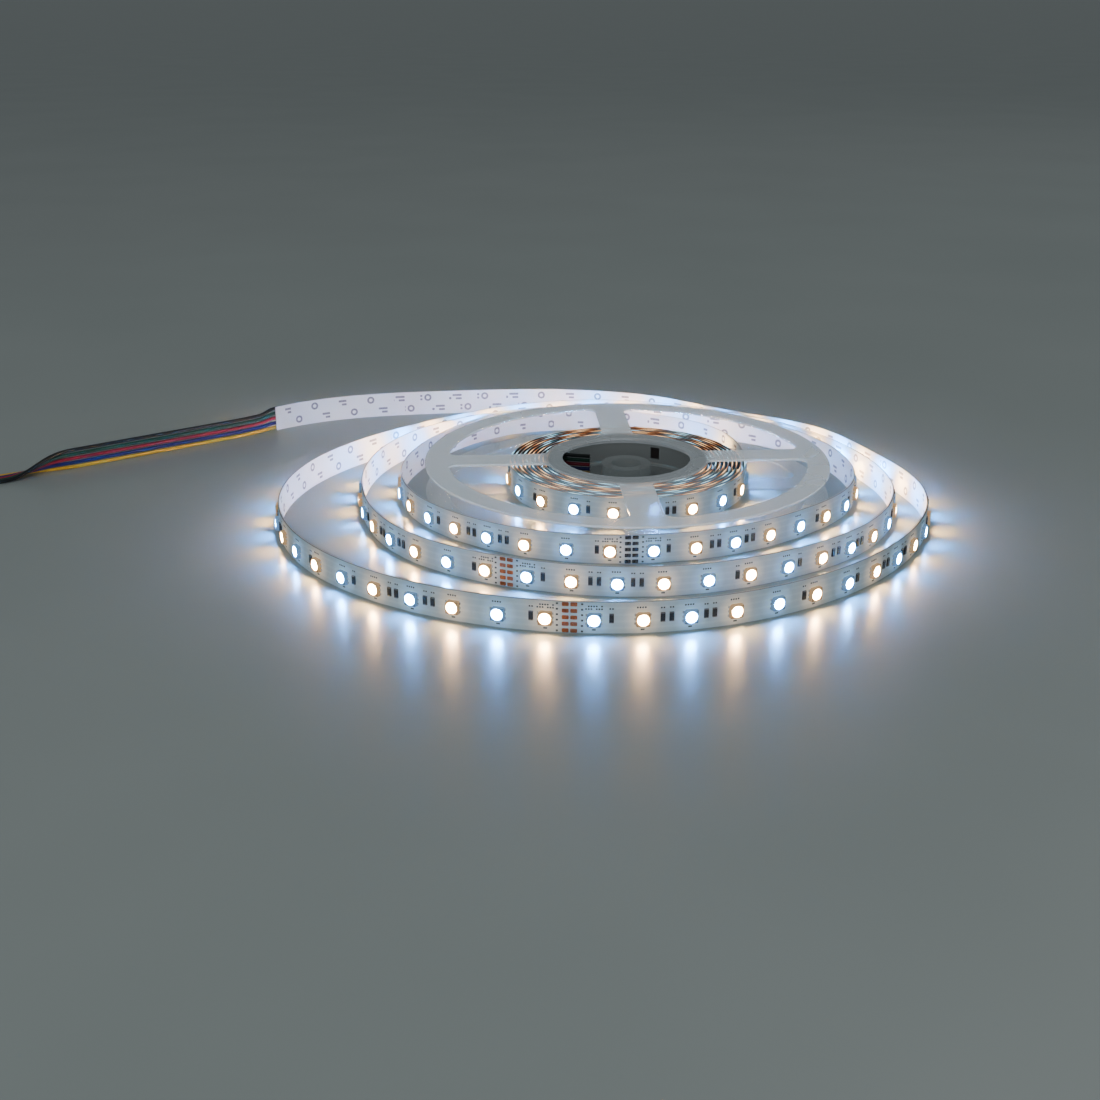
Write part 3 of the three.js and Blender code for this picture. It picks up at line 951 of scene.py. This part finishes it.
def led(parts, warm, station):
    """One square light package: housing with a round window, its lens and six solder tabs."""
    half = LED_SIZE / 2
    levels = [
        (led_outline(half), -LED_ROOT),
        (led_outline(half - LED_DRAFT), LED_HEIGHT - LED_BEVEL),
        (led_outline(half - LED_DRAFT - LED_BEVEL), LED_HEIGHT),
        (circle(WINDOW_RADIUS, LED_SIDES), LED_HEIGHT),
        (circle(LENS_RADIUS, LED_SIDES), LED_HEIGHT - WINDOW_DEPTH),
    ]
    reaches = [(SIDE_REACH, 0.0)] * 2 * LED_SIDES
    reaches += [(math.hypot(x, y) / half, 0.0) for level in levels[2:] for x, y in level[0]]
    parts.housings[warm].stack(station, 0, LED_UP, levels, reaches)
    low = LED_HEIGHT - WINDOW_DEPTH
    lens = LENS_RADIUS * LENS_FIT
    dome = [(circle(lens * share, LED_SIDES), low + rise) for share, rise in LENS_DOME]
    shares = [(share, 0.0) for share, rise in LENS_DOME for i in range(LED_SIDES)]
    parts.lenses[warm].stack(station, 0, LED_UP, dome, shares)
    tab = plate_outline(TAB_REACH, TAB_WIDTH, TAB_BEVEL)
    for side in (-1, 1):
        along = side * (half + TAB_REACH / 2 - TAB_ROOT)
        for row in (-1, 0, 1):
            up = LED_UP + row * TAB_PITCH
            raised(parts.tabs, station, along, up, tab, (-LED_ROOT, TAB_HEIGHT), TAB_BEVEL)


RESISTOR_WIDTH = 0.0016
RESISTOR_LENGTH = 0.0034
RESISTOR_CAP = 0.00035
RESISTOR_HEIGHT = 0.00055
RESISTOR_UP = 0.006
RESISTOR_BEVEL = 0.00004
CAP_BEVEL = 0.00006
PART_ROOT = 0.00003
PAD_WIDTH = 0.0024
PAD_HEIGHT = 0.0015
PAD_SIDE = 0.00145
PAD_RISE = 0.00005
BLOB_SIDES = 14
# Outlines of a solder drop: shares of its size, and heights
BLOB_LEVELS = [(1.0, 0.0), (0.94, 0.00022), (0.72, 0.00038), (0.4, 0.00047), (0.12, 0.0005)]
BLOB_SHARE = 0.46
LEAD_BLOB_STRETCH = 1.6


def pad(piece, station, along, up):
    outline = plate_outline(PAD_WIDTH, PAD_HEIGHT, PAD_HEIGHT / 6)
    raised(piece, station, along, up, outline, (-PAD_RISE / 2, PAD_RISE), PAD_RISE / 2)


def blob(piece, station, along, up, stretch=1.0):
    """A drop of solder over a pad."""
    levels = []
    for share, rise in BLOB_LEVELS:
        ring = [
            (x * share * PAD_WIDTH * BLOB_SHARE * stretch, y * share * PAD_HEIGHT * BLOB_SHARE)
            for x, y in circle(1, BLOB_SIDES)
        ]
        levels.append((ring, rise))
    piece.stack(station, along, up, levels)


# Printed marks: sizes are pairs of width and height
MARK_RISE = 0.00002
MARK_SIZE = (0.00062, 0.0006)
MARK_PITCH = 0.0009
MARKS_UP = (0.0098,)
CROWDED_MARKS_UP = (0.0103, 0.0093)
RESISTOR_MARKS_UP = 0.0094
BAR_SIZE = (0.0014, 0.00055)
BAR_UP = 0.0016
DOT_SIZE = (0.0008, 0.0007)
DOT_SIDE = 0.0043
DOT_LOW = 0.00095
DOT_PITCH = 0.00202
DOT_COUNT = 6


def mark(piece, station, along, up, size):
    outline = plate_outline(*size, size[1] / 5)
    raised(piece, station, along, up, outline, (-MARK_RISE, MARK_RISE), MARK_RISE / 2)


def led_marks(marks, station, crowded):
    """Small printed marks above and below a light, of which a few are left out."""
    columns = range(-3, 4) if crowded else range(-1, 3)
    rows = CROWDED_MARKS_UP if crowded else MARKS_UP
    for up in rows:
        for column in columns:
            if (column + len(rows) * round(up * 1000)) % 5 != 3:
                mark(marks, station, column * MARK_PITCH, up, MARK_SIZE)
    mark(marks, station, 0, BAR_UP, BAR_SIZE)


def resistor(parts, station):
    """One chip resistor with its two caps and the marks above it."""
    body = plate_outline(RESISTOR_WIDTH, RESISTOR_LENGTH - 2 * RESISTOR_CAP, PART_ROOT)
    raised(parts.bodies, station, 0, RESISTOR_UP, body, (-PART_ROOT, RESISTOR_HEIGHT), RESISTOR_BEVEL)
    end = plate_outline(RESISTOR_WIDTH + PART_ROOT, RESISTOR_CAP, CAP_BEVEL)
    for side in (-1, 1):
        up = RESISTOR_UP + side * (RESISTOR_LENGTH - RESISTOR_CAP) / 2
        raised(parts.caps, station, 0, up, end, (-PART_ROOT, RESISTOR_HEIGHT + PART_ROOT), CAP_BEVEL)
    for column in (-0.5, 0.5):
        mark(parts.marks, station, column * MARK_PITCH, RESISTOR_MARKS_UP, MARK_SIZE)


def joint(parts, station, soldered):
    """Two columns of five pads, bare copper or under solder, between two columns of dots."""
    target = parts.solder if soldered else parts.pads
    for row in ROWS:
        up = TAPE_WIDTH / 2 + row * PAD_PITCH
        for side in (-1, 1):
            pad(target, station, side * PAD_SIDE, up)
            if soldered:
                blob(parts.solder, station, side * PAD_SIDE, up)
    for side in (-1, 1):
        for row in range(DOT_COUNT):
            mark(parts.marks, station, side * DOT_SIDE, DOT_LOW + row * DOT_PITCH, DOT_SIZE)


def lead_joint(parts):
    """Solder over the ends of the leads, on the pads at the strip's outer end."""
    station = loose_station(PAD_REACH / 2)
    for row in ROWS:
        up = TAPE_WIDTH / 2 + row * PAD_PITCH
        pad(parts.pads, station, 0, up)
        blob(parts.solder, station, PAD_REACH / 2, up, LEAD_BLOB_STRETCH)


# Places of a unit's lights and resistors, back from its end
LED_BACKS = [(2 * i + 1) * LED_PITCH / 2 for i in range(LIGHTS)]
RESISTOR_BACKS = [0.0143, 0.0319, 0.035, 0.0473, 0.0504, 0.0867]
TONES = ["cool", "warm"]


class StripParts:
    """The pieces that carry one stretch's parts."""

    def __init__(self, name):
        self.housings = [Piece(name + "_%s_housings" % tone, [tone + "_housing"]) for tone in TONES]
        self.lenses = [Piece(name + "_%s_lenses" % tone, [tone]) for tone in TONES]
        self.tabs = Piece(name + "_solder_tabs", ["solder"])
        self.bodies = Piece(name + "_resistors", ["resistor"])
        self.caps = Piece(name + "_resistor_caps", ["cap"])
        self.pads = Piece(name + "_pads", ["copper"])
        self.solder = Piece(name + "_solder", ["joint"])
        self.marks = Piece(name + "_printed_marks", ["mark"])

    def unit(self, station_at, crowded=None):
        """Six lights and six resistors. station_at turns a distance back from the unit's end into a place."""
        for number, back in enumerate(LED_BACKS):
            station = station_at(back)
            if station:
                led(self, number % 2, station)
                led_marks(self.marks, station, number == crowded)
        for back in RESISTOR_BACKS:
            station = station_at(back)
            if station:
                resistor(self, station)

    def build(self):
        pieces = [("led_housing", piece) for piece in self.housings]
        pieces += [("led_lens_" + tone, piece) for tone, piece in zip(TONES, self.lenses)]
        pieces += [("resistor_black", self.bodies), ("copper_pad", self.pads), ("mark_grey", self.marks)]
        pieces += [("tinned_copper", piece) for piece in (self.tabs, self.caps, self.solder)]
        for slot, piece in pieces:
            if piece.points:
                piece.build(slot)


def loose_parts(index):
    """Everything on one soldered section: four units of six lights, and the pads at its joints."""
    parts = StripParts("section_%d" % (index + 1))
    for unit in range(index * UNITS, (index + 1) * UNITS):
        far = (unit + 1) * UNIT_LENGTH
        beside_pads = 0 if unit % 2 else LIGHTS - 1
        parts.unit(lambda back: loose_station(far - back), beside_pads)
    joint(parts, loose_station((index + 0.5) * SECTION_LENGTH), False)
    if index > 0:
        joint(parts, loose_station(index * SECTION_LENGTH), True)
    else:
        lead_joint(parts)
    parts.build()


for index in range(SECTION_COUNT):
    loose_tape(index)
    loose_parts(index)
loose_liner()


# Marks printed on the liner: plain rings, bars and dots, in no maker's layout

MOTIF_PITCH = 0.0148
MOTIF_ROWS = (0.0089, 0.0034)
ROW_SHIFT = 0.4
RING_OUTER = 0.0019
RING_INNER = 0.0009
RING_SIDES = 20
LINER_BACK = -(TAPE_THICKNESS + LINER_GAP + LINER_THICKNESS)
MARK_ENDS = (LINER_BACK + MARK_RISE, LINER_BACK - MARK_RISE)
# Marks beside a ring, and those without one: place along, place over the row's middle, width and height
RING_DOTS = [
    (-0.0034, -0.0009, 0.0012, 0.0011),
    (-0.0034, 0.0009, 0.0012, 0.0011),
]
BARS = [
    (0.0004, 0.0008, 0.0048, 0.0011),
    (0.0012, -0.0010, 0.0032, 0.0011),
    (-0.0032, -0.0008, 0.0013, 0.0013),
]


def ring_mark(piece, station, up):
    points = []
    for radius, ends in ((RING_OUTER, MARK_ENDS), (RING_INNER, MARK_ENDS[::-1])):
        for out in ends:
            points += station.outline(0, up, circle(radius, RING_SIDES), out)
    loops = piece.add_loops(points, RING_SIDES)
    piece.wall(loops + loops[:1])


def bar_mark(piece, station, along, up, width, height):
    outline = plate_outline(width, height, height / 4)
    piece.stack(station, along, up, [(outline, out) for out in MARK_ENDS])


def liner_marks():
    """Two rows of small motifs: a ring beside two dots, and two bars beside one, turn about."""
    piece = Piece("liner_marks", ["liner_mark"])
    count = int((LOOSE_LENGTH - MOTIF_PITCH) / MOTIF_PITCH)
    for i in range(count):
        for row, level in enumerate(MOTIF_ROWS):
            station = loose_station((i + 0.5 + ROW_SHIFT * row) * MOTIF_PITCH)
            ringed = (i + row) % 2
            if ringed:
                ring_mark(piece, station, level)
            for along, up, width, height in RING_DOTS if ringed else BARS:
                bar_mark(piece, station, along, level + up, width, height)
    piece.build("mark_grey")


liner_marks()


# Wound strip

WOUND_STEP = 2.0
WOUND_END = WOUND_START + TURN * WOUND_TURNS
WOUND_INNER = -TAPE_THICKNESS - LINER_THICKNESS


def wound_tape():
    start = WOUND_START + math.degrees(JOINT_GAP / OUTER_WINDING_RADIUS)
    stations = [wound_station(turned) for turned in between(start, WOUND_END, WOUND_STEP)]
    piece = Piece("wound_tape", ["face", "wound_edge", "wound_back_painted_shade"])
    ribbon(piece, stations, 0, WOUND_INNER, (0, 1, 2))
    piece.build("wound_tape", ["wound_strip"])


def wound_parts():
    """The outer turn's lights and parts in full."""
    parts = StripParts("winding")
    for unit in range(UNITS):
        far = WOUND_START + LED_STEP * (1 + LIGHTS * unit)

        def station_at(back):
            turned = far - LED_STEP * back / LED_PITCH
            if WOUND_START < turned < WOUND_START + WOUND_LED_SPAN:
                return wound_station(turned)

        parts.unit(station_at)
    parts.build()


INNER_LENS_SIDES = 12
INNER_LENS_RISE = 0.00004


def inner_lights():
    """Lights between the wound turns, whose glow shows along the edges from above."""
    parts = StripParts("wound")
    outline = plate_outline(LED_SIZE, LED_SIZE, LED_NOTCH / 3)
    window = circle(LENS_RADIUS, INNER_LENS_SIDES)
    levels = [(window, WOUND_LED_HEIGHT + rise) for rise in (-INNER_LENS_RISE, INNER_LENS_RISE)]
    shares = [(0.5, 0.0)] * 2 * INNER_LENS_SIDES
    heights = (-LED_ROOT, WOUND_LED_HEIGHT)
    turned = SECOND_TURN
    tone = 0
    while turned < WOUND_END - LED_STEP:
        station = wound_station(turned)
        raised(parts.housings[tone], station, 0, LED_UP, outline, heights, LED_BEVEL)
        parts.lenses[tone].stack(station, 0, LED_UP, levels, shares)
        turned += math.degrees(LED_PITCH / winding_radius(turned))
        tone = 1 - tone
    for tone, housing, lens in zip(TONES, parts.housings, parts.lenses):
        housing.build("led_housing")
        lens.build("led_lens_" + tone)


wound_tape()
wound_parts()
inner_lights()


# Reel: two windowed plates and a turned hub, each one closed mesh

REEL_SIDES = 480
CORNER_STEPS = 12
OUTER_STEPS = 80
INNER_STEPS = 40
HUB_JOIN_RADIUS = 0.0343
FLOOR_MIDDLE = 0.021
EDGE_ROUND = 0.00028
EDGE_STEPS = 4
FLAT_INSET = 0.00045


def arc(centre, radius, start, end, steps):
    return [centre + on_circle(radius, mix(start, end, i / steps)) for i in range(steps + 1)]


def window_outline(quarter, grown):
    """One window's outline between two spokes, widened by grown."""
    corner = WINDOW_CORNER + grown
    outer = WINDOW_OUTER_RADIUS + grown
    inner = WINDOW_INNER_RADIUS - grown
    beside = SPOKE_WIDTH / 2 + WINDOW_CORNER
    outer_centre, inner_centre = [
        Vector((math.sqrt(reach ** 2 - beside ** 2), beside)) for reach in (outer - corner, inner + corner)
    ]
    outer_angle, inner_angle = [
        math.degrees(math.atan2(centre.y, centre.x)) for centre in (outer_centre, inner_centre)
    ]
    middle = Vector((0, 0))
    first = arc(inner_centre, corner, 180 + inner_angle, 270, CORNER_STEPS)
    first += arc(outer_centre, corner, -90, outer_angle, CORNER_STEPS)
    outline = first + arc(middle, outer, outer_angle, 90 - outer_angle, OUTER_STEPS)[1:-1]
    outline += [point.yx for point in reversed(first)]
    outline += arc(middle, inner, 90 - inner_angle, inner_angle, INNER_STEPS)[1:-1]
    turn = math.radians(quarter * TURN / SPOKE_COUNT + SPOKE_TURN)
    c, s = math.cos(turn), math.sin(turn)
    return [Vector((point.x * c - point.y * s, point.x * s + point.y * c)) for point in outline]


def reel_circle(radius):
    return [on_circle(radius, TURN * i / REEL_SIDES) for i in range(REEL_SIDES)]


def edge_levels(low, high):
    """Pairs of height and inset that round both edges of a plate."""
    levels = []
    for i in range(EDGE_STEPS + 1):
        angle = math.pi / 2 * i / EDGE_STEPS
        levels.append((low + EDGE_ROUND * (1 - math.sin(angle)), EDGE_ROUND * (1 - math.cos(angle))))
    return levels[::-1] + [(low + high - z, inset) for z, inset in levels]


class ReelPiece(Piece):
    """A windowed plate, a form turned from a profile, or both in one."""

    def ring(self, outline, z):
        return self.add([(AXIS.x + point.x, AXIS.y + point.y, z) for point in outline])

    def cap(self, loops):
        lines = [[Vector(self.points[i]) for i in loop] for loop in loops]
        order = [i for loop in loops for i in loop]
        for triangle in tessellate_polygon(lines):
            self.face(order[i] for i in triangle)

    def plate(self, low, high, low_join, high_join):
        """The plate outside the hub. The joins are the hub's loops at the plate's two faces."""
        levels = [(low, FLAT_INSET)] + edge_levels(low, high) + [(high, FLAT_INSET)]
        borders = [[self.ring(reel_circle(FLANGE_RADIUS - inset), z) for z, inset in levels]]
        self.wall(borders[0])
        for quarter in range(SPOKE_COUNT):
            borders.append([self.ring(window_outline(quarter, inset), z) for z, inset in levels])
            self.wall(borders[-1])
        self.cap([border[0] for border in borders] + [low_join])
        self.cap([border[-1] for border in borders] + [high_join])

    def turned(self, profile, slots=()):
        """Turns a profile about the axis. A slot is a pair of profile rows joined through the wall."""
        loops = [self.ring(reel_circle(radius), z) for radius, z in profile]
        skipped = set()
        for angle, width, outer_rows, inner_rows in slots:
            half = math.degrees(width / 2 / DRUM_RADIUS)
            first = round((angle - half) * REEL_SIDES / TURN)
            last = round((angle + half) * REEL_SIDES / TURN)
            for row in [*range(*outer_rows), *range(*reversed(inner_rows))]:
                skipped.update((row, column % REEL_SIDES) for column in range(first, last))
            self.slot_walls(loops, first, last, outer_rows, inner_rows)
        for row, (a, b) in enumerate(zip(loops, loops[1:])):
            for i in range(REEL_SIDES):
                j = (i + 1) % REEL_SIDES
                if (row, i) not in skipped:
                    self.face((a[i], a[j], b[j], b[i]))
        return loops[-1], loops[0]

    def slot_walls(self, loops, first, last, outer_rows, inner_rows):
        """Faces through the wall around a slot. Rows are matched by their height."""
        for column in range(first, last):
            i = column % REEL_SIDES
            j = (column + 1) % REEL_SIDES
            for outer, inner in zip(outer_rows, inner_rows):
                self.face((loops[outer][i], loops[outer][j], loops[inner][j], loops[inner][i]))
        rows = [*range(outer_rows[0], outer_rows[1] + 1), *range(inner_rows[1], inner_rows[0] + 1)]
        for column in (first % REEL_SIDES, last % REEL_SIDES):
            self.face(loops[row][column] for row in rows)

    def finish(self, node):
        self.build("reel_plastic", [node], sharp=REEL_SHARP_ANGLE)


FLAT_SHARE = 1.4
FILLET_SHARE = 0.3
FILLET_STEPS = 3
STRAIGHT = -0.999


def filleted(profile):
    """Rounds the corners of a profile, and starts its flats a little way beside each."""
    points = [Vector(point) for point in profile]
    rounded = []
    for before, corner, after in zip(points, points[1:], points[2:]):
        into = before - corner
        out = after - corner
        reach = min(EDGE_ROUND, into.length * FILLET_SHARE, out.length * FILLET_SHARE)
        into.normalize()
        out.normalize()
        if into.dot(out) < STRAIGHT:
            rounded.append(corner)
            continue
        start = corner + into * reach
        end = corner + out * reach
        rounded.append(corner + into * reach * FLAT_SHARE)
        for i in range(FILLET_STEPS + 1):
            t = i / FILLET_STEPS
            rounded.append(start * (1 - t) ** 2 + corner * 2 * t * (1 - t) + end * t ** 2)
        rounded.append(corner + out * reach * FLAT_SHARE)
    return [profile[0], *rounded, profile[-1]]


def row_at(profile, radius, height):
    """The row of a profile that lies at a radius and height."""
    distances = [math.hypot(r - radius, z - height) for r, z in profile]
    return distances.index(min(distances))


def flange(name, low, hole_side, node):
    """A windowed disc. The hole's side is its profile inside the join, from the low face to the high one."""
    high = low + FLANGE_THICKNESS
    piece = ReelPiece(name, ["flange"])
    profile = [(HUB_JOIN_RADIUS, low), *hole_side, (HUB_JOIN_RADIUS, high)]
    high_join, low_join = piece.turned(filleted(profile))
    piece.plate(low, high, low_join, high_join)
    piece.finish(node)


def lower_flange():
    hole = DRUM_RADIUS + SEAT_GAP
    flange("reel_lower_disc", 0, [(hole, 0), (hole, FLANGE_THICKNESS)], "reel_lower_flange")


def hub():
    """Floor, drum wall and boss, with slots through the wall for an eye and for the inner leads."""
    piece = ReelPiece("reel_hub_cup", ["hub"])
    floor_top = FLANGE_THICKNESS
    outer_side = [LEAD_SLOT_LOW, EYE_SLOT_LOW, EYE_SLOT_HIGH, LEAD_SLOT_HIGH, DRUM_TOP]
    profile = [(FLOOR_MIDDLE, 0), (DRUM_RADIUS, 0)]
    profile += [(DRUM_RADIUS, z) for z in outer_side]
    profile += [(DRUM_BORE, z) for z in reversed(outer_side)]
    profile += [(DRUM_BORE, floor_top), (BOSS_RADIUS, floor_top), (BOSS_RADIUS, BOSS_TOP)]
    profile += [(BOSS_BORE, BOSS_TOP), (BOSS_BORE, 0), (FLOOR_MIDDLE - EDGE_ROUND, 0)]
    profile = filleted(profile)
    slots = []
    for angle, width, low, high in (
        (EYE_SLOT_ANGLE, EYE_SLOT_WIDTH, EYE_SLOT_LOW, EYE_SLOT_HIGH),
        (ROUTE_START_ANGLE - WOUND_END, LEAD_SLOT_WIDTH, LEAD_SLOT_LOW, LEAD_SLOT_HIGH),
    ):
        rows = [[row_at(profile, radius, z) for z in (low, high)] for radius in (DRUM_RADIUS, DRUM_BORE)]
        slots.append((angle, width, *rows))
    piece.wall(piece.turned(profile, slots))
    piece.finish("reel_hub")


def upper_flange():
    low = UPPER_FLANGE_LOW
    flange("reel_upper_disc", low, [
        (COLLAR_RADIUS, low),
        (COLLAR_RADIUS, COLLAR_LOW),
        (COLLAR_BORE, COLLAR_LOW),
        (COLLAR_BORE, low),
        (HUB_HOLE_RADIUS, low),
        (HUB_HOLE_RADIUS, low + FLANGE_THICKNESS),
    ], "reel_upper_flange")


lower_flange()
hub()
upper_flange()


# Short inner leads in the hub

STUB_STEPS = 20
STUB_SIDES = 16
STUB_BEND_RADIUS = 0.0306
CORE_RADIUS = 0.00045
CORE_REACH = 0.00012
CORE_SIDES = 12


def inner_leads():
    angle = ROUTE_START_ANGLE - WOUND_END
    low = FLANGE_THICKNESS + WIRE_FLOOR_GAP + WIRE_DIAMETER / 2
    for order, wire in enumerate(WIRES):
        height = Vector((0, 0, low + order * WIRE_PITCH))
        route = [on_circle(DRUM_RADIUS, angle), on_circle(STUB_BEND_RADIUS, angle), Vector(STUB_END)]
        line = spline_through([point.to_3d() for point in route], STUB_STEPS)
        run = [AXIS + point + height for point in line]
        piece = Piece("inner_lead_jacket_" + wire, ["inner_wire_" + wire, "tinned"])
        piece.layers(tube_layers(run, [WIRE_DIAMETER / 2] * len(run), STUB_SIDES))
        ahead = (run[-1] - run[-2]).normalized()
        core = [run[-1] - ahead * CORE_RADIUS, run[-1] + ahead * CORE_REACH]
        piece.layers(tube_layers(core, [CORE_RADIUS] * 2, CORE_SIDES), kind=1)
        piece.build("wire_" + wire, ["inner_lead_" + wire])


inner_leads()


# Floor and lights

FLOOR_REACH = 400.0
WORLD_COLOR = (0.80, 0.88, 0.90, 1)
WORLD_STRENGTH = 0.17
KEY = {"energy": 15.0, "size": 1.4, "place": (-0.4, -1.7, 0.85)}
FILL = {"energy": 3.5, "size": 2.0, "place": (1.2, 0.6, 1.4)}


def floor():
    n = Nodes("floor")
    cloud = n.noise(n.place(), 6)
    n.set(
        Base_Color=n.tint(cloud, (0.34, 0.39, 0.38), (0.37, 0.42, 0.41)),
        Roughness=0.3,
        Specular_IOR_Level=1.0,
    )
    mesh = bpy.data.meshes.new("floor")
    corners = [(x * FLOOR_REACH, y * FLOOR_REACH, 0) for x, y in ((-1, -1), (1, -1), (1, 1), (-1, 1))]
    mesh.from_pydata(corners, [], [(0, 1, 2, 3)])
    mesh.materials.append(n.material)
    piece = new_object("floor", mesh)


def soft_light(name, energy, size, place):
    """A square light that is aimed at the foot of the reel's axis."""
    data = bpy.data.lights.new(name, "AREA")
    data.energy = energy
    data.size = size
    light = new_object(name, data)
    light.location = AXIS + Vector(place)
    light.rotation_euler = (AXIS - light.location).to_track_quat("-Z", "Y").to_euler()
    return light


def studio():
    world = bpy.data.worlds.new("studio")
    world.use_nodes = True
    background = world.node_tree.nodes["Background"]
    background.inputs["Color"].default_value = WORLD_COLOR
    background.inputs["Strength"].default_value = WORLD_STRENGTH
    bpy.context.scene.world = world
    key = soft_light("key", **KEY)
    key.visible_glossy = False
    soft_light("fill", **FILL)


floor()
studio()
